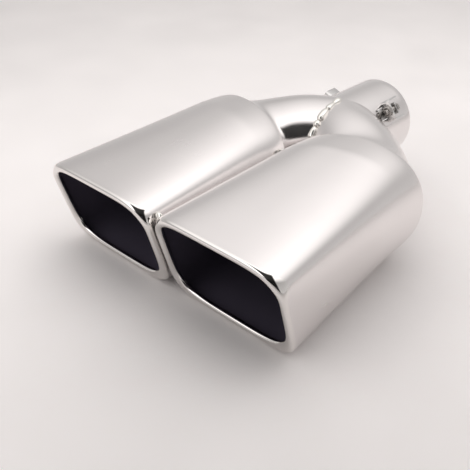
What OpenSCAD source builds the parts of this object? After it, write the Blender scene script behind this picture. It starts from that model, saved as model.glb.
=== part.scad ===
// Twin-outlet exhaust tip with a clamp-on inlet
// The origin is the centre of the inlet's mouth: +Y points out of the inlet,
// the two outlets open towards -Y, and +Z is up. Lengths are in millimetres.

/* [Outlet mouths] */
// Width of each outlet
outlet_w = 104; // [90:0.5:120]
// Height of an outlet's crown above its widest line
crown_rise = 28.5; // [22:0.5:34]
// Depth of an outlet's belly below its widest line
belly_drop = 41.8; // [36:0.1:46]
// Squareness of the crown's corners, where 2 is an ellipse
crown_square = 4.7; // [3:0.1:6]
// Squareness of the belly's corners
belly_square = 5.7; // [3:0.1:7]
// Squareness of the opening inside the rolled lip
mouth_square = 4.5; // [3:0.1:6]
// Gap between the two outlets
outlet_gap = 1.6; // [0.8:0.1:6]
// Rake of the mouths, top forward
mouth_rake = 15.6; // [0:0.2:25]
// How far the right mouth stands behind the left one
right_set_back = 2.2; // [0:0.2:6]
// Radius of the rolled lip
lip_r = 2.8; // [2:0.1:4]
// How far the lip rolls round
lip_turn = 215; // [180:5:230]

/* [Shell bodies] */
// Distance from the inlet's mouth to the face of the left outlet at its widest line
mouth_reach = 251; // [225:1:290]
// Thickness of the shell's sheet
shell_wall = 1.2; // [0.8:0.1:2]
// Width of a shell at its rear end
rear_w = 102; // [90:0.5:120]
// Height of a shell at its rear end
rear_h = 84.2; // [78:0.2:92]
// Squareness of the corners where the shoulder starts
shoulder_square = 2.6; // [2.2:0.1:4]
// Squareness of the rear end's corners
rear_square = 2.25; // [2:0.05:2.6]
// Length of the shoulder, in which the corners round off
shoulder_len = 25; // [10:0.5:35]
// Gap between the two rear ends
rear_gap = 1.6; // [0.8:0.1:8]
// Distance from the inlet's mouth to the rear end's centre
rear_reach = 109.6; // [104:0.2:120]
// Turn of the rear end towards the middle plane
rear_turn = 11; // [6:0.5:18]

/* [Branches] */
// Height of the inlet's axis above the shells' undersides
axis_height = 51.5; // [45:0.1:60]
// Thickness of the branch's sheet
branch_wall = 1.5; // [1:0.1:2]
// Angle between a branch and the inlet where they meet
branch_angle = 58; // [52:1:64]
// Straightness of the branch where it leaves the shell
rear_handle = 18.2; // [10:0.2:26]
// Straightness of the branch where it nears the collector
collector_handle = 30.2; // [20:0.2:40]
// Sag of the branch below the inlet's axis on its way to the shell
branch_sag = 13.6; // [6:0.2:18]
// How soon the branch narrows behind the shell, where less is sooner
narrowing = 0.3; // [0.25:0.01:0.6]

/* [Inlet] */
// Outside diameter of the inlet
inlet_d = 63.5; // [60:0.5:66]
// Thickness of the inlet's wall
inlet_wall = 1.5; // [1:0.1:2.5]
// Length of the inlet from its mouth to the top of the collector
inlet_len = 57.6; // [54:0.1:64]

/* [Clamps] */
// Number of clamps round the inlet
clamp_count = 3; // [2:1:4]
// Angle of the first clamp above the horizontal
first_clamp = 38; // [25:1:45]
// Distance from the inlet's mouth to the rear face of the bracket's web
web_reach = 30; // [27:0.5:31]
// Width of the bracket across the pipe
bracket_w = 17; // [14:0.5:20]
// Height of the bracket above the pipe
bracket_h = 7; // [6.8:0.1:10]
// Length of the bracket's flanges behind the web
bracket_len = 11; // [9:0.5:14]
// Thickness of the bracket's sheet
bracket_wall = 1.5; // [1:0.1:2]
// Radius of the bracket's rounded corners
bracket_round = 2; // [1.6:0.1:3]
// Width of the spring strip
strip_w = 9; // [7:0.5:10]
// Thickness of the spring strip
strip_wall = 1.2; // [0.8:0.1:1.5]
// Length of the spring strip's leaf ahead of its tab
leaf_len = 13; // [11:0.5:13.5]
// Distance from the bracket's web to the strip's tab
tab_gap = 4.4; // [3.5:0.1:5]
// Clearance beside the strip in its window
window_clear = 0.5; // [0.3:0.1:1]
// Diameter of the clamp bolt
bolt_d = 4; // [3:0.5:4]
// Width across flats of the bolt's head and of the nut
hex_af = 7; // [6:0.5:7]
// Thickness of the bolt's head
head_h = 2.8; // [2.4:0.1:3.5]
// Thickness of the nut
nut_h = 3.2; // [2.4:0.1:4]
// Clearance round the bolt in the bracket and the tab
bolt_clear = 0.25; // [0.1:0.05:0.4]
// Clearance of the thread in the nut
thread_clear = 0.05; // [0.02:0.01:0.1]
// Clearance between the pipe and the bolt's head
hex_clear = 0.5; // [0.3:0.1:0.6]
// Length of the bolt beyond its nut
bolt_end = 1.5; // [0.5:0.1:3]

/* [Welds] */
// Half-width of the collector's weld bead
bead_half = 3.4; // [2:0.1:5]
// Height of the collector's weld bead
bead_h = 2.2; // [1:0.1:4]
// Number of ripples along the collector's weld
bead_ripples = 13; // [6:1:20]
// Length of a tack weld between the outlets
tack_len = 5; // [4:0.5:9]
// Height of a tack weld's crown above its feet
tack_h = 1.6; // [1:0.1:2.5]
// Distance of the front tack weld behind the mouths
front_tack_back = 2.6; // [2.6:0.1:12]
// Where the front tack's feet stand on the shells' sides, as an angle
front_tack_angle = 143; // [138:1:160]
// Distance of the rear tack weld ahead of the rear ends
rear_tack_ahead = 6.5; // [3:0.5:25]
// Where the rear tack's feet stand on the shells' sides, as an angle
rear_tack_angle = 152; // [145:1:165]

/* [Hidden] */

polished = [0.80, 0.78, 0.77];
raw_weld = [0.88, 0.87, 0.84];
strip_steel = [0.62, 0.62, 0.60];
zinc = [0.45, 0.43, 0.40];

// Points round each section of a shell or a branch
sides = 60;
// Rings along each stretch
body_rings = 2;
shoulder_rings = 4;
branch_rings = 8;
ring_spread = 1.5;
lip_rings = 7;
hem_rings = 5;
ripple_rings = 5;
tack_rings = 2;

inlet_r = inlet_d / 2;
inlet_bore_r = inlet_r - inlet_wall;
// The shells' widest line at the mouth, and the middle of their rear end
mouth_z = belly_drop - axis_height;
rear_z = rear_h / 2 - axis_height;
// Distances of their centres from the middle plane
mouth_x = (outlet_w + outlet_gap) / 2;
rear_x = (rear_w * cos(rear_turn) + rear_gap) / 2;
miter = tan(branch_angle / 2);
// How far a weld stands clear of the facets of the sheet that it lies on
bead_seat = 0.08;
tack_clear = 0.2;
// Size of the collector's bead between two ripples, as a share of its full size
bead_waist = 0.72;
// How far down the shells' sides a tack's root lies, as an angle
tack_sink = 8;

// Shape of a section: an oval whose corners square up with n
function reach(q, n) = pow(pow(abs(cos(q)), n) + pow(abs(sin(q)), n), -1 / n);
function oval(q, half_w, rise, drop, n_up, n_down) =
    let (up = sin(q) >= 0, k = reach(q, up ? n_up : n_down))
    [half_w * k * cos(q), (up ? rise : drop) * k * sin(q)];
function mix(a, b, k) = a + (b - a) * k;
function smooth(t) = t * t * (3 - 2 * t);
function angles() = [for (i = [0:sides - 1]) 360 * i / sides];

// A point of the rolled lip, which starts as the shell's wall at turn 0.
// depth is measured inwards from the outer skin.
function lip_point(q, turn, depth, set_back) =
    let (inset = lip_r - (lip_r - depth) * cos(turn),
         forward = (lip_r - depth) * sin(turn) - lip_r,
         k = inset / (2 * lip_r),
         p = oval(q, outlet_w / 2 - inset, crown_rise - inset, belly_drop - inset,
                  mix(crown_square, mouth_square, k), mix(belly_square, mouth_square, k)))
    [mouth_x + p.x,
     set_back - mouth_reach - forward - tan(mouth_rake) * p.y,
     mouth_z + p.y];

// Centre line: the shoulder from -1 to 0, where the shell ends and its branch
// starts, the bend from 0 to 1, and a straight round stretch from 1 to the
// collector at 2
function towards(turn) = [-sin(turn), cos(turn), 0];
mouth_centre = [mouth_x, -mouth_reach, mouth_z];
rear_centre = [rear_x, -rear_reach, rear_z];
collector = [0, -inlet_len, 0];
body_run = rear_centre - mouth_centre;
bend_end = collector - inlet_r * miter * towards(branch_angle);
leave = [rear_centre.x, rear_centre.y, -branch_sag]
    + rear_handle * towards(rear_turn);
arrive = bend_end - collector_handle * towards(branch_angle);
function run(t) =
    t < 0 ? rear_centre + t * shoulder_len * body_run / norm(body_run) :
    t > 1 ? mix(bend_end, collector, t - 1) :
    pow(1 - t, 3) * rear_centre + 3 * pow(1 - t, 2) * t * leave
    + 3 * (1 - t) * t * t * arrive + pow(t, 3) * bend_end;
function heading(t) =
    let (s = min(1, max(0, t)),
         d = pow(1 - s, 2) * (leave - rear_centre) + 2 * (1 - s) * s * (arrive - leave)
             + s * s * (bend_end - arrive))
    [d.x, d.y] / norm([d.x, d.y]);

// A point of the section at t, which goes from the shell's oval to a circle
function run_point(q, t, depth) =
    let (k = t < 0 ? 0 : t > 1 ? 1 : pow(smooth(t), narrowing),
         square = t < 0 ? mix(rear_square, shoulder_square, sqrt(1 - pow(1 + t, 2)))
                        : mix(rear_square, 2, k),
         h = heading(t),
         half_h = mix(rear_h / 2, inlet_r, k) - depth,
         p = oval(q, mix(rear_w / 2, inlet_r, k) - depth, half_h, half_h, square, square))
    run(t) + [h.y * p.x, -h.x * p.x, p.y];

// A point of a shell's body, which runs straight from its mouth at 0 to its
// shoulder at 1
function body_point(q, k, depth, set_back) =
    mix(lip_point(q, 0, depth, set_back), run_point(q, -1, depth), k);

// Each line of a branch ends where it meets the other branch or the inlet
function past_seam(p) = max(-p.x, p.y + inlet_len - miter * p.x) > 0;
function seam_run(q, depth, low = 0, high = 2, steps = 17) =
    steps == 0 ? low :
    let (middle = (low + high) / 2)
    past_seam(run_point(q, middle, depth)) ? seam_run(q, depth, low, middle, steps - 1)
                                           : seam_run(q, depth, middle, high, steps - 1);

// Skin of rings that closes on itself: the last ring meets the first
module closed_skin(rings) {
    n = len(rings[0]);
    m = len(rings);
    polyhedron(
        points = [for (ring = rings) each ring],
        faces = [for (j = [0:m - 1], i = [0:n - 1])
            let (a = j * n, b = (j + 1) % m * n, next = (i + 1) % n)
            each [[a + i, b + i, b + next], [a + i, b + next, a + next]]]);
}

// Skin of rings with a flat cap at each end
module capped_skin(rings) {
    n = len(rings[0]);
    m = len(rings);
    polyhedron(
        points = [for (ring = rings) each ring],
        faces = [
            [for (i = [0:n - 1]) i],
            [for (i = [n - 1:-1:0]) (m - 1) * n + i],
            for (j = [0:m - 2], i = [0:n - 1])
                let (a = j * n, b = (j + 1) * n, next = (i + 1) % n)
                each [[a + i, b + i, b + next], [a + i, b + next, a + next]]]);
}

// One skin of a shell, from its rear opening to the edge of its rolled lip
function shell_skin(depth, set_back, lip_steps) = [
    for (j = [shoulder_rings:-1:1])
        [for (q = angles()) run_point(q, sin(90 * j / shoulder_rings) - 1, depth)],
    for (j = [body_rings:-1:1])
        [for (q = angles()) body_point(q, j / body_rings, depth, set_back)],
    for (j = [0:lip_steps])
        [for (q = angles()) lip_point(q, lip_turn * j / lip_steps, depth, set_back)]];
function reversed(list) = [for (i = [len(list) - 1:-1:0]) list[i]];

// Outlet shell: a formed sheet with a rolled lip in front and a rounded shoulder behind
module outlet_shell(set_back) {
    outer = shell_skin(0, set_back, lip_rings);
    inner = shell_skin(shell_wall, set_back, hem_rings);
    color(polished) closed_skin(concat(outer, reversed(inner)));
}

module outlet_shell_left() mirror([1, 0, 0]) outlet_shell(0);
module outlet_shell_right() outlet_shell(right_set_back);

// Branch: a tapered bend that starts as the shell's oval and ends on the collector's
// seams. Its rings stand closer where it narrows soonest.
function ring_place(j) = pow(j / branch_rings, ring_spread);
function branch_skin(depth) = [
    for (j = [0:branch_rings])
        [for (q = angles()) run_point(q, seam_run(q, depth) * ring_place(j), depth)]];
module branch_pipe() {
    outer = branch_skin(0);
    inner = branch_skin(branch_wall);
    color(polished) closed_skin(concat(reversed(outer), inner));
}

module branch_pipe_left() mirror([1, 0, 0]) branch_pipe();
module branch_pipe_right() branch_pipe();

// A piece that is turned to a clamp's place round the inlet's axis,
// with X pointing outwards there
module at_clamp(i) rotate([0, -(first_clamp + 360 / clamp_count * (i - 1)), 0]) children();
module along_y(from, to, radius, fn = 0)
    translate([0, from, 0]) rotate([-90, 0, 0]) cylinder(r = radius, h = to - from, $fn = fn);

web_back = -web_reach;
web_front = web_back - bracket_wall;
tab_front = web_back + tab_gap;
tab_back = tab_front + strip_wall;
leaf_front = tab_front - leaf_len;
bolt_x = inlet_r + hex_af / 2 + hex_clear;
hex_r = hex_af / 2 / cos(30);
tab_top = bolt_x + bolt_d / 2 + strip_wall;
window_w = strip_w + 2 * window_clear;
// Ends that pass through a wall, or a foot that reaches into the pipe's curve
through = 1;
foot = 2;

// Inlet: a tube whose front end is cut to a roof by the two seams,
// with a window in its wall for each clamp's strip
module inlet_pipe() {
    far = inlet_d;
    color(polished) difference() {
        along_y(-inlet_len, 0, inlet_r, 96);
        along_y(-inlet_len - through, through, inlet_bore_r, 96);
        translate([0, 0, -far / 2]) linear_extrude(far)
            polygon([[0, -inlet_len], [far, -inlet_len + miter * far],
                     [far, -inlet_len - far], [-far, -inlet_len - far],
                     [-far, -inlet_len + miter * far]]);
        for (i = [1:clamp_count]) at_clamp(i)
            translate([inlet_bore_r - foot, leaf_front, -window_w / 2])
                cube([inlet_wall + 2 * foot, tab_back + window_clear - leaf_front, window_w]);
    }
}

// Bracket: a channel that stands on the pipe astride the strip. The nut bears on the
// front of its web.
module clamp_bracket(i) {
    color(polished) at_clamp(i) difference() {
        union() {
            translate([0, web_back, 0]) rotate([90, 0, 0]) linear_extrude(bracket_wall) {
                translate([inlet_r - foot, -bracket_w / 2])
                    square([bracket_h + foot - bracket_round, bracket_w]);
                translate([inlet_r - foot, -bracket_w / 2 + bracket_round])
                    square([bracket_h + foot, bracket_w - 2 * bracket_round]);
                for (z = [-1, 1])
                    translate([inlet_r + bracket_h - bracket_round,
                               z * (bracket_w / 2 - bracket_round)])
                        circle(bracket_round, $fn = 32);
            }
            for (z = [-bracket_w / 2, bracket_w / 2 - bracket_wall])
                translate([inlet_r - foot, web_back, z])
                    cube([bracket_h + foot - bracket_round, bracket_len, bracket_wall]);
        }
        along_y(web_front - through, web_back + bracket_len + through, inlet_r, 96);
        translate([bolt_x, 0, 0])
            along_y(web_front - through, web_back + through, bolt_d / 2 + bolt_clear, 32);
    }
}

// Strip: a spring leaf that lies in its window, flush with the bore and welded
// at its front end, with a tab that stands up to the bolt's head
module clamp_strip(i) {
    color(strip_steel) at_clamp(i) difference() {
        union() {
            intersection() {
                difference() {
                    along_y(leaf_front, tab_back, inlet_bore_r + strip_wall, 96);
                    along_y(leaf_front - through, tab_back + through, inlet_bore_r, 96);
                }
                translate([0, leaf_front, -strip_w / 2])
                    cube([inlet_r, tab_back - leaf_front, strip_w]);
            }
            translate([inlet_bore_r, tab_front, -strip_w / 2])
                cube([tab_top - inlet_bore_r, strip_wall, strip_w]);
        }
        translate([bolt_x, 0, 0])
            along_y(tab_front - through, tab_back + through, bolt_d / 2 + bolt_clear, 32);
    }
}

// Bolt: a hexagon head behind the strip's tab and a shank to beyond the nut
module clamp_bolt(i) {
    color(zinc) at_clamp(i) translate([bolt_x, 0, 0]) {
        rotate([0, 30, 0]) along_y(tab_back, tab_back + head_h, hex_r, 6);
        along_y(web_front - nut_h - bolt_end, tab_back + head_h / 2, bolt_d / 2, 32);
    }
}

// Nut: drawn against the web's front
module clamp_nut(i) {
    color(zinc) at_clamp(i) translate([bolt_x, 0, 0]) difference() {
        rotate([0, 30, 0]) along_y(web_front - nut_h, web_front, hex_r, 6);
        along_y(web_front - nut_h - through, web_front + through,
                bolt_d / 2 + thread_clear, 32);
    }
}

// Section of a weld bead astride the middle plane. bed lists the points that it
// lies on, from its root out to its right foot, and up is the way that it stands.
function flip(p) = [-p.x, p.y, p.z];
function bead_ring(bed, up, height) =
    let (foot = bed[len(bed) - 1])
    concat(bed,
           [for (a = [30:30:150]) [foot.x * cos(a), foot.y, foot.z] + up * height * sin(a)],
           [for (i = [len(bed) - 1:-1:1]) flip(bed[i])]);

// The collector's weld runs from the top of the inlet down round the fork
module collector_weld() {
    stations = ripple_rings * bead_ripples;
    rings = [for (i = [0:stations])
        let (q = 90 + 180 * i / stations,
             t = seam_run(q, 0),
             size = mix(bead_waist, 1, abs(sin(180 * bead_ripples * i / stations))),
             out = run_point(q, t, 0) - run(t),
             up = [0, out.y, out.z] / norm([0, out.y, out.z]),
             root = run_point(q, t, -bead_seat),
             back = run_point(q, t * ring_place(branch_rings - 1), -bead_seat),
             foot = mix(root, back, bead_half * size / norm(back - root)))
        bead_ring([[0, root.y, root.z], foot], up, bead_h * size)];
    color(raw_weld) capped_skin(rings);
}

// A point of the right shell's side, by its distance ahead of the rear end
function side_point(q, ahead) =
    ahead < shoulder_len
        ? run_point(q, -ahead / shoulder_len, 0)
        : body_point(q, (norm(body_run) - ahead) / (norm(body_run) - shoulder_len), 0,
                     right_set_back);

// A tack weld lies in the groove between the two shells, its feet on their walls
// at angle q of their sections and its root below them
module tack_weld(q, ahead) {
    rings = [for (i = [tack_rings:-1:-tack_rings])
        let (place = ahead - i / (2 * tack_rings) * tack_len,
             size = 1 - pow(i / (tack_rings + 1), 2),
             low = side_point(q + tack_sink, place),
             foot = side_point(q + tack_sink * (1 - size), place))
        bead_ring([[0, low.y, low.z], [foot.x - tack_clear, low.y, foot.z]], [0, 0, 1],
                  tack_h * size)];
    color(raw_weld) capped_skin(rings);
}
module front_tack_weld() tack_weld(front_tack_angle, norm(body_run) - front_tack_back);
module rear_tack_weld() tack_weld(rear_tack_angle, rear_tack_ahead);

outlet_shell_left();
outlet_shell_right();
branch_pipe_left();
branch_pipe_right();
inlet_pipe();
collector_weld();
front_tack_weld();
rear_tack_weld();
for (i = [1:clamp_count]) {
    clamp_bracket(i);
    clamp_strip(i);
    clamp_bolt(i);
    clamp_nut(i);
}
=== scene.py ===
"""Looks of a twin-outlet exhaust tip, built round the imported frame.

Lengths below are in millimetres, but for those of the light and the camera, in metres.
"""

import math

import bmesh
import bpy
import numpy as np
from mathutils import Matrix, Vector


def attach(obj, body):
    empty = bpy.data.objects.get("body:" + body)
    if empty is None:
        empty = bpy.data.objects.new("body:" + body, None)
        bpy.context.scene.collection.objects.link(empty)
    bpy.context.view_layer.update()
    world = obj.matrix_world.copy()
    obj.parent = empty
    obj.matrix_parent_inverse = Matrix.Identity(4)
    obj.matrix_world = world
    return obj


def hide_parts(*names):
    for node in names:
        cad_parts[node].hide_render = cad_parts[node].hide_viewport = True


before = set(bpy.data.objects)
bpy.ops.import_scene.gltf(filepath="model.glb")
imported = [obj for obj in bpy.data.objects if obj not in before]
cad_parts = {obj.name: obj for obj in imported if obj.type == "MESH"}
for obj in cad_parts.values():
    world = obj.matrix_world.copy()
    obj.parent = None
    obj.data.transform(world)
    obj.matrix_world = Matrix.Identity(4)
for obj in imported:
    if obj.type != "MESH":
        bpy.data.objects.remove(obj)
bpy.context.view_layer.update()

MM = 0.001

# Sizes, the same as the frame's
OUTLET_W = 104.0
CROWN_RISE = 28.5
BELLY_DROP = 41.8
CROWN_SQUARE = 4.7
BELLY_SQUARE = 5.7
MOUTH_SQUARE = 4.5
OUTLET_PITCH = 105.6
MOUTH_RAKE = math.radians(15.6)
RIGHT_SET_BACK = 2.2
LIP_R = 2.8
LIP_TURN = 215.0
CORNER_INSET = 1.4
CORNER_ROLL = 5.2
CORNER_LOW = 0.15
CORNER_SPAN = 0.25
MOUTH_REACH = 251.0
SHELL_WALL = 1.2
REAR_W = 102.0
REAR_H = 84.2
SHOULDER_SQUARE = 2.6
REAR_SQUARE = 2.25
SHOULDER_LEN = 25.0
REAR_REACH = 109.6
REAR_TURN = math.radians(11)
REAR_X = (REAR_W * math.cos(REAR_TURN) + 1.6) / 2
AXIS_HEIGHT = 51.5
BRANCH_WALL = 1.5
BRANCH_ANGLE = math.radians(58)
REAR_HANDLE = 18.2
COLLECTOR_HANDLE = 30.2
BRANCH_SAG = 13.6
NARROWING = 0.3
INLET_R = 31.75
INLET_WALL = 1.5
INLET_LEN = 57.6
FIRST_CLAMP = 38.0
WEB_REACH = 30.0
BRACKET_W = 17.0
BRACKET_H = 7.0
BRACKET_LEN = 11.0
BRACKET_WALL = 1.5
STRIP_W = 9.0
STRIP_WALL = 1.2
LEAF_LEN = 13.0
TAB_GAP = 4.4
WINDOW_CLEAR = 0.5
BOLT_D = 4.0
HEX_AF = 7.0
HEAD_H = 2.8
NUT_H = 3.2
BOLT_CLEAR = 0.25
HEX_CLEAR = 0.5
BOLT_END = 1.5
THREAD_PITCH = 0.7
THREAD_DEPTH = 0.36
HEX_FLAT = 0.96
HEX_STEP = 0.75
WELD_RIPPLES = 13
WELD_REACH = 3.4
WELD_HEIGHT = 2.2
TACK_LEN = 5.0
TACK_HEIGHT = 1.6
BUMP_HEIGHT = 0.0002

MOUTH_Z = BELLY_DROP - AXIS_HEIGHT
REAR_Z = REAR_H / 2 - AXIS_HEIGHT
MITER = math.tan(BRANCH_ANGLE / 2)
BORE_R = INLET_R - INLET_WALL
SIDES = 256

# Light: how bright the room is, the floor's tones, the diffuser over the part and a dark band
ROOM = 0.66
ROOM_UP = -0.33
ROOM_Y = 0.056
LIGHT = (1.0, 0.975, 0.965)
FLOOR = (0.90, 0.87, 0.86)
# Painted shade on the floor: its colour darkens towards the front
FLOOR_FRONT = 0.96
FLOOR_BACK = 1.03
FLOOR_AWAY = (-0.68, 0.73, 0)
FLOOR_SEEN = 1.2
# Painted shade on the floor close to the part: how far it reaches and how dark it gets
NEAR_PART_SHADE_REACH = 0.09
NEAR_PART_SHADE_DEPTH = 0.87
BACKDROP = 0.88
PANEL_Z = 0.35
PANEL_POWER = 3.45
PANEL_EDGES = (("X", -0.82, 0.81), ("X", 0.63, 0.03), ("Y", 0.87, -0.71))
DARK_TURN = math.radians(146)
DARK_HALF = 0.42
DARK_TOP = 0.93
DARK_DEPTH = 0.98
PART_MIDDLE = (0, -0.15, 0)

# Camera
SENSOR = 36.0
IMAGE_PX = 470.0
FOCAL_PX = 646.18
SHIFT_PX = -1.5
CAMERA_AT = (0.2654, -0.4613, 0.2161)
CAMERA_FORWARD = (-0.5734, 0.6130, -0.5435)
CAMERA_RIGHT = (0.7303, 0.6831, 0.0)


# ---------------------------------------------------------------- forms
def reach(c, s, n):
    return (np.abs(c) ** n + np.abs(s) ** n) ** (-1.0 / n)


def oval(q, half_w, rise, drop, n_up, n_down):
    c, s = np.cos(q), np.sin(q)
    up = s >= 0
    k = np.where(up, reach(c, s, n_up), reach(c, s, n_down))
    return half_w * k * c, np.where(up, rise, drop) * k * s


def mix(a, b, k):
    return a + (b - a) * k


def lip_point(q, turn, depth, set_back):
    turn = np.radians(turn)
    inset = LIP_R - (LIP_R - depth) * np.cos(turn)
    forward = (LIP_R - depth) * np.sin(turn) - LIP_R
    if depth == 0 and turn < math.pi:
        # The outer skin rolls over more slowly at the two upper corners
        c, s = np.cos(q), np.sin(q)
        corner = np.where(s > 0, np.exp(-((np.abs(c) - s - CORNER_LOW) / CORNER_SPAN) ** 2), 0)
        wide = LIP_R + CORNER_INSET * corner
        if turn < math.pi / 2:
            inset = wide * (1 - np.cos(turn))
            forward = (LIP_R + CORNER_ROLL * corner) * (np.sin(turn) - 1)
        else:
            inset = wide - (2 * LIP_R - wide) * np.cos(turn)
    k = inset / (2 * LIP_R)
    x, z = oval(q, OUTLET_W / 2 - inset, CROWN_RISE - inset, BELLY_DROP - inset,
                mix(CROWN_SQUARE, MOUTH_SQUARE, k), mix(BELLY_SQUARE, MOUTH_SQUARE, k))
    return np.stack([OUTLET_PITCH / 2 + x,
                     set_back - MOUTH_REACH - forward - math.tan(MOUTH_RAKE) * z,
                     MOUTH_Z + z], -1)


def towards(turn):
    return np.array([-math.sin(turn), math.cos(turn), 0.0])


# Centre line: the shoulder from -1 to 0, the branch's bend to 1, and a straight stretch to 2
MOUTH = np.array([OUTLET_PITCH / 2, -MOUTH_REACH, MOUTH_Z])
REAR = np.array([REAR_X, -REAR_REACH, REAR_Z])
COLLECTOR = np.array([0.0, -INLET_LEN, 0.0])
BODY_LEN = float(np.linalg.norm(REAR - MOUTH))
BODY_DIR = (REAR - MOUTH) / BODY_LEN
BEND_END = COLLECTOR - INLET_R * MITER * towards(BRANCH_ANGLE)
LEAVE = np.array([REAR_X, -REAR_REACH, -BRANCH_SAG]) + REAR_HANDLE * towards(REAR_TURN)
ARRIVE = BEND_END - COLLECTOR_HANDLE * towards(BRANCH_ANGLE)


def run(t):
    t = np.asarray(t, float)[..., None]
    bend = ((1 - t) ** 3 * REAR + 3 * (1 - t) ** 2 * t * LEAVE
            + 3 * (1 - t) * t * t * ARRIVE + t ** 3 * BEND_END)
    return np.where(t < 0, REAR + t * SHOULDER_LEN * BODY_DIR,
                    np.where(t > 1, mix(BEND_END, COLLECTOR, t - 1), bend))


def heading(t):
    t = np.clip(np.asarray(t, float), 0, 1)[..., None]
    d = ((1 - t) ** 2 * (LEAVE - REAR) + 2 * (1 - t) * t * (ARRIVE - LEAVE)
         + t * t * (BEND_END - ARRIVE))
    return d[..., :2] / np.linalg.norm(d[..., :2], axis=-1, keepdims=True)


def run_point(q, t, depth):
    q, t = np.broadcast_arrays(np.asarray(q, float), np.asarray(t, float))
    s = np.clip(t, 0, 1)
    k = (s * s * (3 - 2 * s)) ** NARROWING
    round_off = np.sqrt(np.maximum(0, 1 - (1 + np.minimum(t, 0)) ** 2))
    n = np.where(t < 0, mix(REAR_SQUARE, SHOULDER_SQUARE, round_off), mix(REAR_SQUARE, 2, k))
    half_h = mix(REAR_H / 2, INLET_R, k) - depth
    x, z = oval(q, mix(REAR_W / 2, INLET_R, k) - depth, half_h, half_h, n, n)
    h = heading(t)
    return run(t) + np.stack([h[..., 1] * x, -h[..., 0] * x, z], -1)


def body_point(q, k, depth, set_back):
    return mix(lip_point(q, 0, depth, set_back), run_point(q, 0 * q - 1, depth), k)


def seam_run(q, depth):
    low = np.zeros(q.shape)
    high = np.full(q.shape, 2.0)
    for _ in range(34):
        middle = (low + high) / 2
        p = run_point(q, middle, depth)
        past = np.maximum(-p[..., 0], p[..., 1] + INLET_LEN - MITER * p[..., 0]) > 0
        low, high = np.where(past, low, middle), np.where(past, middle, high)
    return low


def ring_angles(n=SIDES):
    a = 2 * math.pi * np.arange(n) / n
    return a + 0.11 * np.sin(4 * a)


# ---------------------------------------------------------------- meshes
def add_mesh(name, verts, faces, material_index=None, sharp=38):
    mesh = bpy.data.meshes.new(name)
    mesh.from_pydata([tuple(v) for v in np.asarray(verts, float) * MM], [], faces)
    if material_index is not None:
        mesh.polygons.foreach_set("material_index", np.asarray(material_index, np.int32))
    piece = bpy.data.objects.new(name, mesh)
    bpy.context.scene.collection.objects.link(piece)
    bm = bmesh.new()
    bm.from_mesh(mesh)
    bmesh.ops.recalc_face_normals(bm, faces=bm.faces)
    bm.to_mesh(mesh)
    bm.free()
    smooth(piece, sharp)
    return piece


def smooth(piece, sharp=38):
    mesh = piece.data
    mesh.polygons.foreach_set("use_smooth", [True] * len(mesh.polygons))
    mesh.set_sharp_from_angle(angle=math.radians(sharp))
    mesh.update()


def ring_skin(name, rings, closed, mats=None, flip=False, sharp=38):
    """A mesh of rings, each a loop of points. closed joins the last ring to the first;
    otherwise both ends are capped. mats gives a material index for each band."""
    rings = np.asarray(rings)
    m, n = rings.shape[:2]
    verts = rings.reshape(-1, 3).copy()
    if flip:
        verts[:, 0] *= -1
    faces, index = [], []
    for j in range(m if closed else m - 1):
        a, b = j * n, (j + 1) % m * n
        for i in range(n):
            k = (i + 1) % n
            faces.append((a + i, b + i, b + k, a + k))
            index.append(0 if mats is None else mats[j])
    if not closed:
        faces.append(tuple(range(n)))
        faces.append(tuple((m - 1) * n + i for i in reversed(range(n))))
        index += [0, 0]
    return add_mesh(name, verts, faces, index, sharp)


def shell(name, set_back, flip):
    q = ring_angles()
    spans = [
        # Ring places, what makes a ring there, and the band's material:
        # 0 polished, 1 dark inside, 2 lip
        ([math.sin(math.radians(a)) - 1 for a in np.linspace(90, 0, 17)[:-1]],
         lambda t: run_point(q, t, 0), 0),
        (np.linspace(1, 0, 33)[:-1], lambda k: body_point(q, k, 0, set_back), 0),
        (np.linspace(0, LIP_TURN, 31), lambda a: lip_point(q, a, 0, set_back), 2),
        (np.linspace(LIP_TURN, 0, 19)[:-1], lambda a: lip_point(q, a, SHELL_WALL, set_back), 1),
        (np.linspace(0, 1, 17)[:-1], lambda k: body_point(q, k, SHELL_WALL, set_back), 1),
        ([math.sin(math.radians(a)) - 1 for a in np.linspace(0, 90, 9)],
         lambda t: run_point(q, t, SHELL_WALL), 1),
    ]
    rings, mats = [], []
    for values, make, mat in spans:
        for v in values:
            rings.append(make(v))
            mats.append(mat)
    return ring_skin(name, rings, True, mats, flip)


def branch(name, flip):
    q = ring_angles()
    rings, mats = [], []
    skins = ((0, np.linspace(0, 1, 65), 0), (BRANCH_WALL, np.linspace(1, 0, 33), 1))
    for depth, steps, mat in skins:
        end = seam_run(q, depth)
        for k in steps:
            rings.append(run_point(q, end * k ** 1.7, depth))
            mats.append(mat)
    return ring_skin(name, rings, True, mats, flip)


def inlet(name):
    a = 2 * math.pi * np.arange(SIDES) / SIDES
    edge = 0.35
    rings, mats = [], []

    def ring(r, k, back):
        x, z = r * np.cos(a), r * np.sin(a)
        front = -INLET_LEN + MITER * np.abs(x)
        return np.stack([x, mix(front, back, k), z], -1)

    for k in np.linspace(0, 1, 9):
        rings.append(ring(INLET_R, k, -edge))
        mats.append(0)
    for b in (30, 60, 90):
        c, s = math.cos(math.radians(b)), math.sin(math.radians(b))
        rings.append(ring(INLET_R - edge * (1 - c), 1, -edge * (1 - s)))
        mats.append(0)
    for b in (90, 60, 30):
        c, s = math.cos(math.radians(b)), math.sin(math.radians(b))
        rings.append(ring(BORE_R + edge * (1 - c), 1, -edge * (1 - s)))
        mats.append(0)
    for k in np.linspace(1, 0, 9):
        rings.append(ring(BORE_R, k, -edge))
        mats.append(1)
    piece = ring_skin(name, rings, True, mats)
    half = STRIP_W / 2 + WINDOW_CLEAR
    for i in range(3):
        cutter = box_piece("cutter", (BORE_R - 3, LEAF_FRONT, -half),
                           (INLET_R + 3, TAB_BACK + WINDOW_CLEAR, half), 0)
        place(cutter, i)
        cut(piece, cutter)
    smooth(piece)
    return piece


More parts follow.
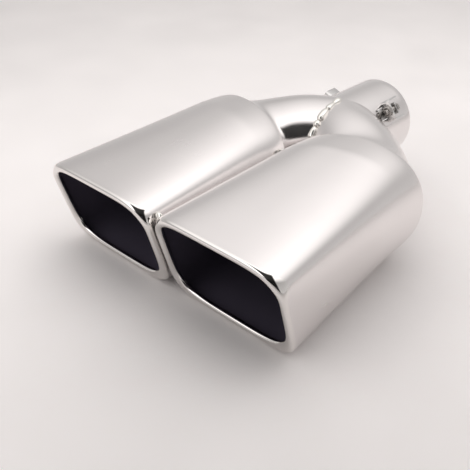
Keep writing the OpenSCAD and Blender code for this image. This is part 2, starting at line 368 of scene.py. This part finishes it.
WEB_BACK = -WEB_REACH
WEB_FRONT = WEB_BACK - BRACKET_WALL
TAB_FRONT = WEB_BACK + TAB_GAP
TAB_BACK = TAB_FRONT + STRIP_WALL
LEAF_FRONT = TAB_FRONT - LEAF_LEN
BOLT_X = INLET_R + HEX_AF / 2 + HEX_CLEAR


def place(piece, i):
    """Turns a clamp piece from its own place, with X outwards, to clamp i's."""
    piece.data.transform(Matrix.Rotation(-math.radians(FIRST_CLAMP + 120 * i), 4, "Y"))


def bm_piece(name, bm, sharp=30):
    mesh = bpy.data.meshes.new(name)
    bmesh.ops.recalc_face_normals(bm, faces=bm.faces)
    bm.to_mesh(mesh)
    bm.free()
    piece = bpy.data.objects.new(name, mesh)
    bpy.context.scene.collection.objects.link(piece)
    smooth(piece, sharp)
    return piece


def box_piece(name, low, high, bevel=0.2):
    bm = bmesh.new()
    low, high = Vector(low) * MM, Vector(high) * MM
    bmesh.ops.create_cube(bm, size=1)
    for v in bm.verts:
        v.co = Vector([low[i] if v.co[i] < 0 else high[i] for i in range(3)])
    if bevel:
        bmesh.ops.bevel(bm, geom=bm.edges[:], offset=bevel * MM, segments=2, affect="EDGES",
                        profile=0.5)
    return bm_piece(name, bm)


def cylinder_piece(name, y0, y1, radius, x=0.0, n=96):
    bm = bmesh.new()
    ends = []
    for y in (y0, y1):
        ends.append([bm.verts.new((MM * (x + radius * math.cos(2 * math.pi * i / n)), MM * y,
                                   MM * radius * math.sin(2 * math.pi * i / n))) for i in range(n)])
    for i in range(n):
        k = (i + 1) % n
        bm.faces.new((ends[0][i], ends[0][k], ends[1][k], ends[1][i]))
    bm.faces.new(ends[0])
    bm.faces.new(ends[1])
    return bm_piece(name, bm)


def prism(name, outline, z0, z1, bevel=0.0):
    """A prism of an (x, y) outline between two heights along Z."""
    bm = bmesh.new()
    low = [bm.verts.new((MM * x, MM * y, MM * z0)) for x, y in outline]
    high = [bm.verts.new((MM * x, MM * y, MM * z1)) for x, y in outline]
    n = len(outline)
    bm.faces.new(low)
    bm.faces.new(high)
    for i in range(n):
        k = (i + 1) % n
        bm.faces.new((low[i], low[k], high[k], high[i]))
    bmesh.ops.recalc_face_normals(bm, faces=bm.faces)
    if bevel:
        rim = [e for e in bm.edges
               if len(e.link_faces) == 2 and e.calc_face_angle(0) > math.radians(50)]
        bmesh.ops.bevel(bm, geom=rim, offset=bevel * MM, segments=2, affect="EDGES", profile=0.5)
    return bm_piece(name, bm)


def cut(piece, cutter, operation="DIFFERENCE"):
    modifier = piece.modifiers.new("cut", "BOOLEAN")
    modifier.operation = operation
    modifier.solver = "EXACT"
    modifier.object = cutter
    graph = bpy.context.evaluated_depsgraph_get()
    mesh = bpy.data.meshes.new_from_object(piece.evaluated_get(graph))
    piece.modifiers.clear()
    old = piece.data
    piece.data = mesh
    bpy.data.meshes.remove(old)
    spare = cutter.data
    bpy.data.objects.remove(cutter)
    bpy.data.meshes.remove(spare)


def bracket(name, i):
    """A channel bent from sheet: the nut bears on its web and its flanges run towards the mouth."""
    half, wall, bend = BRACKET_W / 2, BRACKET_WALL, 2.0
    y0, y1 = WEB_FRONT, WEB_BACK + BRACKET_LEN
    outer = [(-half, y1)]
    outer += [(-half + bend * (1 - math.cos(a)), y0 + bend * (1 - math.sin(a)))
              for a in np.linspace(0, math.pi / 2, 9)]
    outer += [(half - bend * (1 - math.cos(a)), y0 + bend * (1 - math.sin(a)))
              for a in np.linspace(math.pi / 2, 0, 9)]
    outer += [(half, y1), (half - wall, y1)]
    inner_r = bend - wall
    outer += [(half - wall - inner_r * (1 - math.cos(a)), y0 + wall + inner_r * (1 - math.sin(a)))
              for a in np.linspace(0, math.pi / 2, 5)]
    outer += [(-half + wall + inner_r * (1 - math.cos(a)), y0 + wall + inner_r * (1 - math.sin(a)))
              for a in np.linspace(math.pi / 2, 0, 5)]
    outer += [(-half + wall, y1)]
    # Built lying down, with X for the sheet's width, then stood up
    piece = prism(name, outer, INLET_R - 3, INLET_R + BRACKET_H, 0.25)
    piece.data.transform(Matrix(((0, 0, 1, 0), (0, 1, 0, 0), (1, 0, 0, 0), (0, 0, 0, 1))))
    piece.data.flip_normals()
    cut(piece, cylinder_piece("cutter", WEB_FRONT - 2, y1 + 2, INLET_R + 0.01, 0, 192))
    cut(piece, cylinder_piece("cutter", WEB_FRONT - 2, WEB_BACK + 2,
                              BOLT_D / 2 + BOLT_CLEAR, BOLT_X, 48))
    smooth(piece, 30)
    place(piece, i)
    return piece


def strip(name, i):
    """A spring leaf in its window with a tab bent up to the bolt."""
    top = BOLT_X + BOLT_D / 2 + STRIP_WALL
    bend = 1.6
    r0, r1 = BORE_R, BORE_R + STRIP_WALL
    # Outline in (x, y): leaf along the bore, then the bend, then the tab
    outline = [(r0, LEAF_FRONT), (r0, TAB_BACK - bend)]
    outline += [(r0 + bend * (1 - math.cos(a)), TAB_BACK - bend * (1 - math.sin(a)))
                for a in np.linspace(0, math.pi / 2, 7)][1:]
    outline += [(top, TAB_BACK), (top, TAB_FRONT)]
    s = bend - STRIP_WALL
    outline += [(r1 + s * (1 - math.cos(a)), TAB_FRONT - s * (1 - math.sin(a)))
                for a in np.linspace(math.pi / 2, 0, 5)]
    outline += [(r1, LEAF_FRONT)]
    piece = prism(name, outline, -STRIP_W / 2, STRIP_W / 2, 0.15)
    cut(piece, cylinder_piece("cutter", TAB_FRONT - 2, TAB_BACK + 2,
                              BOLT_D / 2 + BOLT_CLEAR, BOLT_X, 48))
    # The leaf follows the bore's curve
    for v in piece.data.vertices:
        if v.co.x < (INLET_R + 1) * MM:
            v.co.x = v.co.x - (BORE_R * MM - math.sqrt((BORE_R * MM) ** 2 - v.co.z ** 2))
    smooth(piece, 30)
    place(piece, i)
    return piece


def hexagon(name, y0, y1, af, chamfer_front, chamfer_back, hole=0.0):
    """A hexagon between y0 and y1 about the bolt's axis, chamfered at the chosen ends."""
    n = 96
    bm = bmesh.new()

    def hex_r(a):
        b = (math.degrees(a) + 30) % 60 - 30
        return af / 2 / math.cos(math.radians(b))

    rows = []
    stations = [(y0, chamfer_front), (y0 + HEX_STEP, False),
                (y1 - HEX_STEP, False), (y1, chamfer_back)]
    for y, chamfer in stations:
        row = []
        for k in range(n):
            a = 2 * math.pi * k / n
            r = hex_r(a)
            if chamfer:
                r = min(r, af / 2 * HEX_FLAT)
            row.append((r, y, a))
        rows.append(row)
    # The chamfer bites the corners only: along each row the height follows the radius
    verts = []
    for j, row in enumerate(rows):
        line = []
        for r, y, a in row:
            if j == 1 and chamfer_front:
                y = y0 + (hex_r(a) - af / 2 * HEX_FLAT) * 0.6
            if j == 2 and chamfer_back:
                y = y1 - (hex_r(a) - af / 2 * HEX_FLAT) * 0.6
            line.append(bm.verts.new((MM * (BOLT_X + r * math.cos(a)), MM * y,
                                      MM * r * math.sin(a))))
        verts.append(line)
    if hole:
        for y in (y1, y0):
            angles = [2 * math.pi * k / n for k in range(n)]
            verts.append([bm.verts.new((MM * (BOLT_X + hole * math.cos(a)), MM * y,
                                        MM * hole * math.sin(a))) for a in angles])
    for j in range(len(verts) if hole else len(verts) - 1):
        a, b = verts[j], verts[(j + 1) % len(verts)]
        for k in range(n):
            bm.faces.new((a[k], a[(k + 1) % n], b[(k + 1) % n], b[k]))
    if not hole:
        bm.faces.new(verts[0])
        bm.faces.new(verts[-1])
    return bm_piece(name, bm, 22)


def bolt(name, i):
    head = hexagon(name, TAB_BACK, TAB_BACK + HEAD_H, HEX_AF, False, True)
    end = WEB_FRONT - NUT_H - BOLT_END
    # The thread is a helix of shallow ridges on the shank
    n, pitch = 40, THREAD_PITCH
    r_out, r_in = BOLT_D / 2, BOLT_D / 2 - THREAD_DEPTH
    y_start = TAB_BACK + 0.4
    length = y_start - end
    steps = int(length / pitch * 4)
    rings = []
    for j in range(steps + 1):
        y = end + length * j / steps
        a = 2 * math.pi * np.arange(n) / n
        phase = (y / pitch - np.arange(n) / n) % 1.0
        r = r_in + (r_out - r_in) * (1 - np.abs(2 * phase - 1))
        if j == 0:
            r = np.full(n, r_in - 0.1)
        rings.append(np.stack([BOLT_X + r * np.cos(a), np.full(n, y), r * np.sin(a)], -1))
    shank = ring_skin("shank", rings, False, None, False, 50)
    joined = join(head, shank)
    place(joined, i)
    return joined


def join(first, *others):
    bm = bmesh.new()
    bm.from_mesh(first.data)
    for o in others:
        bm.from_mesh(o.data)
        mesh = o.data
        bpy.data.objects.remove(o)
        bpy.data.meshes.remove(mesh)
    bm.to_mesh(first.data)
    bm.free()
    first.data.update()
    return first


def nut(name, i):
    piece = hexagon(name, WEB_FRONT - NUT_H, WEB_FRONT, HEX_AF, True, True, BOLT_D / 2 + 0.05)
    place(piece, i)
    return piece


def collector_weld(name):
    stations = 481
    rings = []
    for i in range(stations):
        f = i / (stations - 1)
        q = np.array([math.pi / 2 + math.pi * f])
        t = seam_run(q, 0)
        root = run_point(q, t, 0)[0]
        # Ripples of uneven size and spacing
        phase = WELD_RIPPLES * f + 0.16 * math.sin(7.3 * f * 2 * math.pi) + 0.1 * math.sin(17 * f)
        lobe = abs(math.sin(math.pi * phase))
        size = 0.44 + 0.56 * lobe ** 0.6 * (0.85 + 0.15 * math.sin(5.1 * 2 * math.pi * f + 1))
        out = root - run(t)[0]
        up = np.array([0, out[1], out[2]])
        up /= np.linalg.norm(up)
        back = run_point(q, t - 0.04, 0)[0]
        width = WELD_REACH * size / np.linalg.norm(back - root)
        bed = [mix(root, back, width * k) for k in (0.5, 1.0)]
        foot = bed[-1]
        crest = [np.array([foot[0] * math.cos(a), foot[1], foot[2]])
                 + up * WELD_HEIGHT * size * math.sin(a)
                 for a in np.radians(np.arange(15, 180, 15))]
        mirror = [b * np.array([-1, 1, 1]) for b in bed[::-1]]
        rings.append([np.array([0, root[1], root[2]])] + bed + crest + mirror)
    return ring_skin(name, rings, False, None, False, 60)


def side_point(q, ahead):
    """A point of the right shell's side, by its distance ahead of the rear end."""
    if ahead < SHOULDER_LEN:
        return run_point(q, -ahead / SHOULDER_LEN, 0)
    return body_point(q, (BODY_LEN - ahead) / (BODY_LEN - SHOULDER_LEN), 0, RIGHT_SET_BACK)


def tack(name, q_foot, ahead):
    rings = []
    sink = math.radians(8)
    q_foot = math.radians(q_foot)
    for i in np.linspace(2, -2, 17):
        size = 1 - (i / 3) ** 2
        q = np.array([q_foot + sink, q_foot + sink * (1 - 0.5 * size), q_foot + sink * (1 - size)])
        root, mid, foot = side_point(q, ahead - i / 4 * TACK_LEN)
        foot = foot - np.array([0.2, 0, 0])
        mid = mid - np.array([0.1, 0, 0])
        crest = [np.array([foot[0] * math.cos(a), root[1], foot[2] + TACK_HEIGHT * size * math.sin(a)])
                 for a in np.radians(np.arange(15, 180, 15))]
        bed = [np.array([0, root[1], root[2]]), np.array([mid[0], root[1], mid[2]]),
               np.array([foot[0], root[1], foot[2]])]
        mirror = [b * np.array([-1, 1, 1]) for b in bed[:0:-1]]
        rings.append(bed + crest + mirror)
    return ring_skin(name, rings, False, None, False, 60)


# ---------------------------------------------------------------- materials
def new_material(name):
    m = bpy.data.materials.new(name)
    m.use_nodes = True
    nodes, links = m.node_tree.nodes, m.node_tree.links
    bsdf = nodes["Principled BSDF"]
    return m, nodes, links, bsdf


def noise(nodes, links, vector, scale, detail=3.0, rough=0.5):
    n = nodes.new("ShaderNodeTexNoise")
    n.inputs["Scale"].default_value = scale
    n.inputs["Detail"].default_value = detail
    n.inputs["Roughness"].default_value = rough
    links.new(vector, n.inputs["Vector"])
    return n.outputs["Fac"]


def ramp(nodes, links, fac, stops):
    r = nodes.new("ShaderNodeValToRGB")
    links.new(fac, r.inputs["Fac"])
    els = r.color_ramp.elements
    while len(els) < len(stops):
        els.new(0.5)
    for e, (pos, col) in zip(els, stops):
        e.position = pos
        e.color = (*col, 1) if len(col) == 3 else col
    return r.outputs["Color"]


def remap(nodes, links, fac, low, high, a=0.3, b=0.7):
    n = nodes.new("ShaderNodeMapRange")
    n.inputs["From Min"].default_value = a
    n.inputs["From Max"].default_value = b
    n.inputs["To Min"].default_value = low
    n.inputs["To Max"].default_value = high
    links.new(fac, n.inputs["Value"])
    return n.outputs["Result"]


def math_node(nodes, links, operation, a, b=None):
    n = nodes.new("ShaderNodeMath")
    n.operation = operation
    for socket, value in zip(n.inputs, (a, b)):
        if isinstance(value, (int, float)):
            socket.default_value = value
        elif value is not None:
            links.new(value, socket)
    return n.outputs[0]


def eased(nodes, links, value, start, end):
    """0 at start and 1 at end, eased at both."""
    t = remap(nodes, links, value, 0, 1, start, end)
    square = math_node(nodes, links, "MULTIPLY", t, t)
    rest = math_node(nodes, links, "SUBTRACT", 3.0, math_node(nodes, links, "MULTIPLY", t, 2.0))
    return math_node(nodes, links, "MULTIPLY", square, rest)


def dot(nodes, links, a, b):
    n = nodes.new("ShaderNodeVectorMath")
    n.operation = "DOT_PRODUCT"
    n.inputs[1].default_value = b
    links.new(a, n.inputs[0])
    return n.outputs["Value"]


def stretched(nodes, links, scale):
    tc = nodes.new("ShaderNodeTexCoord")
    mp = nodes.new("ShaderNodeMapping")
    mp.inputs["Scale"].default_value = scale
    links.new(tc.outputs["Object"], mp.inputs["Vector"])
    return mp.outputs["Vector"]


def bump(nodes, links, bsdf, height, strength):
    b = nodes.new("ShaderNodeBump")
    b.inputs["Strength"].default_value = strength
    b.inputs["Distance"].default_value = BUMP_HEIGHT
    links.new(height, b.inputs["Height"])
    links.new(b.outputs["Normal"], bsdf.inputs["Normal"])


def steel(name, tint, rough_low, rough_high, buff, buff_strength):
    m, nodes, links, bsdf = new_material(name)
    bsdf.inputs["Metallic"].default_value = 1.0
    even = stretched(nodes, links, (1, 1, 1))
    cloud = noise(nodes, links, even, 18, 3)
    tones = ramp(nodes, links, cloud, [(0.3, [c * 0.965 for c in tint]), (0.7, tint)])
    links.new(tones, bsdf.inputs["Base Color"])
    lines = noise(nodes, links, stretched(nodes, links, buff), 320, 4, 0.6)
    haze = noise(nodes, links, even, 45, 5, 0.6)
    half = math_node(nodes, links, "MULTIPLY", math_node(nodes, links, "ADD", lines, haze), 0.5)
    links.new(remap(nodes, links, half, rough_low, rough_high), bsdf.inputs["Roughness"])
    bump(nodes, links, bsdf, lines, buff_strength)
    return m


# A near-black colour for the inside skins of the shells, branches and inlet
def near_black_inside(name):
    m, nodes, links, bsdf = new_material(name)
    even = stretched(nodes, links, (1, 1, 1))
    grain = noise(nodes, links, even, 900, 3)
    tones = ramp(nodes, links, noise(nodes, links, even, 30, 3),
                 [(0.3, (0.088, 0.078, 0.108)), (0.7, (0.098, 0.087, 0.12))])
    links.new(tones, bsdf.inputs["Base Color"])
    links.new(remap(nodes, links, grain, 0.85, 1.0), bsdf.inputs["Roughness"])
    bsdf.inputs["Specular IOR Level"].default_value = 0.0
    bsdf.inputs["IOR"].default_value = 1.0
    bump(nodes, links, bsdf, grain, 0.05)
    return m


polished = steel("polished_steel", (0.80, 0.77, 0.762), 0.23, 0.28, (1, 0.06, 1), 0.003)
lip_steel = steel("lip_steel", (0.81, 0.785, 0.765), 0.05, 0.09, (1, 1, 1), 0.003)
pipe_steel = steel("pipe_steel", (0.80, 0.77, 0.762), 0.13, 0.18, (1, 0.3, 1), 0.003)
inside_black = near_black_inside("near_black_inside")
weld_steel = steel("weld_steel", (0.84, 0.82, 0.78), 0.14, 0.30, (1, 1, 1), 0.25)
sheet_steel = steel("sheet_steel", (0.76, 0.75, 0.74), 0.16, 0.30, (1, 1, 0.1), 0.08)
strip_steel = steel("strip_steel", (0.60, 0.59, 0.58), 0.22, 0.38, (0.1, 1, 1), 0.1)
bolt_steel = steel("bolt_steel", (0.42, 0.40, 0.38), 0.2, 0.36, (1, 1, 1), 0.1)


# ---------------------------------------------------------------- the part
def dress(piece, node, slot, *materials):
    for m in materials:
        piece.data.materials.append(m)
    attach(piece, "root")
    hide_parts(node)
    return piece


dress(shell("shell_left", 0.0, True), "outlet_shell_left", "polished_shell",
      polished, inside_black, lip_steel)
dress(shell("shell_right", RIGHT_SET_BACK, False), "outlet_shell_right", "polished_shell",
      polished, inside_black, lip_steel)
dress(branch("branch_left", True), "branch_pipe_left", "polished_pipe", pipe_steel, inside_black)
dress(branch("branch_right", False), "branch_pipe_right", "polished_pipe", polished, inside_black)
dress(inlet("inlet_tube"), "inlet_pipe", "polished_pipe", pipe_steel, inside_black)
dress(collector_weld("collector_bead"), "collector_weld", "weld_bead", weld_steel)
dress(tack("front_tack", 143, BODY_LEN - 2.6), "front_tack_weld", "weld_bead", weld_steel)
dress(tack("rear_tack", 152, 6.5), "rear_tack_weld", "weld_bead", weld_steel)
for i in range(3):
    dress(bracket(f"bracket_{i + 1}", i), f"clamp_bracket_{i + 1}", "clamp_sheet", sheet_steel)
    dress(strip(f"strip_{i + 1}", i), f"clamp_strip_{i + 1}", "clamp_strip", strip_steel)
    dress(bolt(f"bolt_{i + 1}", i), f"clamp_bolt_{i + 1}", "clamp_bolt", bolt_steel)
    dress(nut(f"nut_{i + 1}", i), f"clamp_nut_{i + 1}", "clamp_bolt", bolt_steel)


# ---------------------------------------------------------------- floor, light and camera
def plane(name, low, high, z):
    mesh = bpy.data.meshes.new(name)
    corners = [(low[0], low[1], z), (high[0], low[1], z), (high[0], high[1], z), (low[0], high[1], z)]
    mesh.from_pydata(corners, [], [(0, 1, 2, 3)])
    piece = bpy.data.objects.new(name, mesh)
    bpy.context.scene.collection.objects.link(piece)
    return piece


floor = plane("floor", (-3, -3), (3, 3), -AXIS_HEIGHT * MM)


def room_light(nodes, links, direction, extra=None):
    """How bright the room is towards a direction: even, less overhead, and dark in one band."""
    level = math_node(nodes, links, "ADD", dot(nodes, links, direction, (0, ROOM_Y, ROOM_UP)), ROOM)
    if extra is not None:
        level = math_node(nodes, links, "ADD", level, extra)
    ahead = (math.sin(DARK_TURN), math.cos(DARK_TURN), 0)
    aside = (math.cos(DARK_TURN), -math.sin(DARK_TURN), 0)
    across = math_node(nodes, links, "ABSOLUTE", dot(nodes, links, direction, aside))
    band = eased(nodes, links, across, DARK_HALF + 0.05, DARK_HALF - 0.05)
    facing = dot(nodes, links, direction, ahead)
    height = dot(nodes, links, direction, (0, 0, 1))
    for value, start, end in ((facing, 0.05, 0.25), (height, DARK_TOP + 0.06, DARK_TOP - 0.06)):
        band = math_node(nodes, links, "MULTIPLY", band, eased(nodes, links, value, start, end))
    dimmed = math_node(nodes, links, "MULTIPLY", band, DARK_DEPTH)
    kept = math_node(nodes, links, "SUBTRACT", 1.0, dimmed)
    return math_node(nodes, links, "MULTIPLY", level, kept)


# A pale cloth with soft mottling, and painted shade: its colour is greyer towards the front and close
# to the part.
# What sees it, directly or in a reflection, sees it a little lighter than what it lights.
cloth, nodes, links, bsdf = new_material("floor_cloth")
place_on = stretched(nodes, links, (1, 1, 1))
fibres = remap(nodes, links, noise(nodes, links, place_on, 240, 3, 0.6), 0.97, 1.03)
mottling = math_node(nodes, links, "MULTIPLY", noise(nodes, links, place_on, 9, 4, 0.55), fibres)
tone = remap(nodes, links, mottling, 0.96, 1.03)
# Painted shade: the floor's colour darkens towards the front
painted_front_shade = remap(nodes, links, dot(nodes, links, place_on, FLOOR_AWAY), FLOOR_FRONT, FLOOR_BACK, -0.45, 0.5)
tone = math_node(nodes, links, "MULTIPLY", tone, painted_front_shade)
# Painted shade: an ambient occlusion node darkens the floor's colour close to the part
near_part_ao = nodes.new("ShaderNodeAmbientOcclusion")
near_part_ao.samples = 8
near_part_ao.inputs["Distance"].default_value = NEAR_PART_SHADE_REACH
painted_near_part_shade = remap(nodes, links, near_part_ao.outputs["AO"], NEAR_PART_SHADE_DEPTH, 1.0, 0.45, 1.0)
tone = math_node(nodes, links, "MULTIPLY", tone, painted_near_part_shade)
ray = nodes.new("ShaderNodeLightPath")
seen = math_node(nodes, links, "MAXIMUM", ray.outputs["Is Camera Ray"], ray.outputs["Is Glossy Ray"])
lift = remap(nodes, links, seen, 1.0, FLOOR_SEEN, 0.0, 1.0)
tone = math_node(nodes, links, "MULTIPLY", tone, lift)
shade = nodes.new("ShaderNodeVectorMath")
shade.operation = "SCALE"
shade.inputs[0].default_value = FLOOR
links.new(tone, shade.inputs["Scale"])
links.new(shade.outputs[0], bsdf.inputs["Base Color"])
bsdf.inputs["Roughness"].default_value = 0.9
floor.data.materials.append(cloth)

# A diffuser close over the part, brightest above it
diffuser = plane("diffuser", (-1.6, -1.8), (1.6, 1.8), PANEL_Z)
diffuser.visible_camera = False
panel = bpy.data.materials.new("diffuser")
panel.use_nodes = True
nodes, links = panel.node_tree.nodes, panel.node_tree.links
nodes.clear()
spot = nodes.new("ShaderNodeTexCoord")
axes = nodes.new("ShaderNodeSeparateXYZ")
links.new(spot.outputs["Object"], axes.inputs[0])
glow = PANEL_POWER
for axis, start, end in PANEL_EDGES:
    edge = eased(nodes, links, axes.outputs[axis], start, end)
    glow = math_node(nodes, links, "MULTIPLY", edge, glow)
from_part = nodes.new("ShaderNodeVectorMath")
from_part.operation = "SUBTRACT"
from_part.inputs[1].default_value = PART_MIDDLE
links.new(spot.outputs["Object"], from_part.inputs[0])
unit = nodes.new("ShaderNodeVectorMath")
unit.operation = "NORMALIZE"
links.new(from_part.outputs[0], unit.inputs[0])
emission = nodes.new("ShaderNodeEmission")
emission.inputs["Color"].default_value = (*LIGHT, 1)
links.new(room_light(nodes, links, unit.outputs[0], glow), emission.inputs["Strength"])
output = nodes.new("ShaderNodeOutputMaterial")
links.new(emission.outputs[0], output.inputs["Surface"])
diffuser.data.materials.append(panel)

world = bpy.data.worlds.new("studio")
bpy.context.scene.world = world
world.use_nodes = True
nodes, links = world.node_tree.nodes, world.node_tree.links
background = nodes["Background"]
background.inputs["Color"].default_value = (*LIGHT, 1)
direction = nodes.new("ShaderNodeTexCoord")
lit = room_light(nodes, links, direction.outputs["Generated"])
# The backdrop itself is plain and pale
in_view = nodes.new("ShaderNodeLightPath").outputs["Is Camera Ray"]
unseen = math_node(nodes, links, "MULTIPLY", lit, math_node(nodes, links, "SUBTRACT", 1.0, in_view))
seen_level = math_node(nodes, links, "MULTIPLY", in_view, BACKDROP)
links.new(math_node(nodes, links, "ADD", unseen, seen_level), background.inputs["Strength"])

camera_data = bpy.data.cameras.new("camera")
camera = bpy.data.objects.new("camera", camera_data)
camera_data.sensor_width = SENSOR
camera_data.lens = FOCAL_PX * SENSOR / IMAGE_PX
camera_data.shift_y = SHIFT_PX / IMAGE_PX
camera_data.clip_end = 20
forward = Vector(CAMERA_FORWARD).normalized()
right = Vector(CAMERA_RIGHT).normalized()
up = right.cross(forward).normalized()
rotation = Matrix((right, up, -forward)).transposed().to_4x4()
camera.matrix_world = Matrix.Translation(Vector(CAMERA_AT)) @ rotation
bpy.context.scene.collection.objects.link(camera)
bpy.context.scene.camera = camera

view = bpy.context.scene.view_settings
view.view_transform = "Standard"
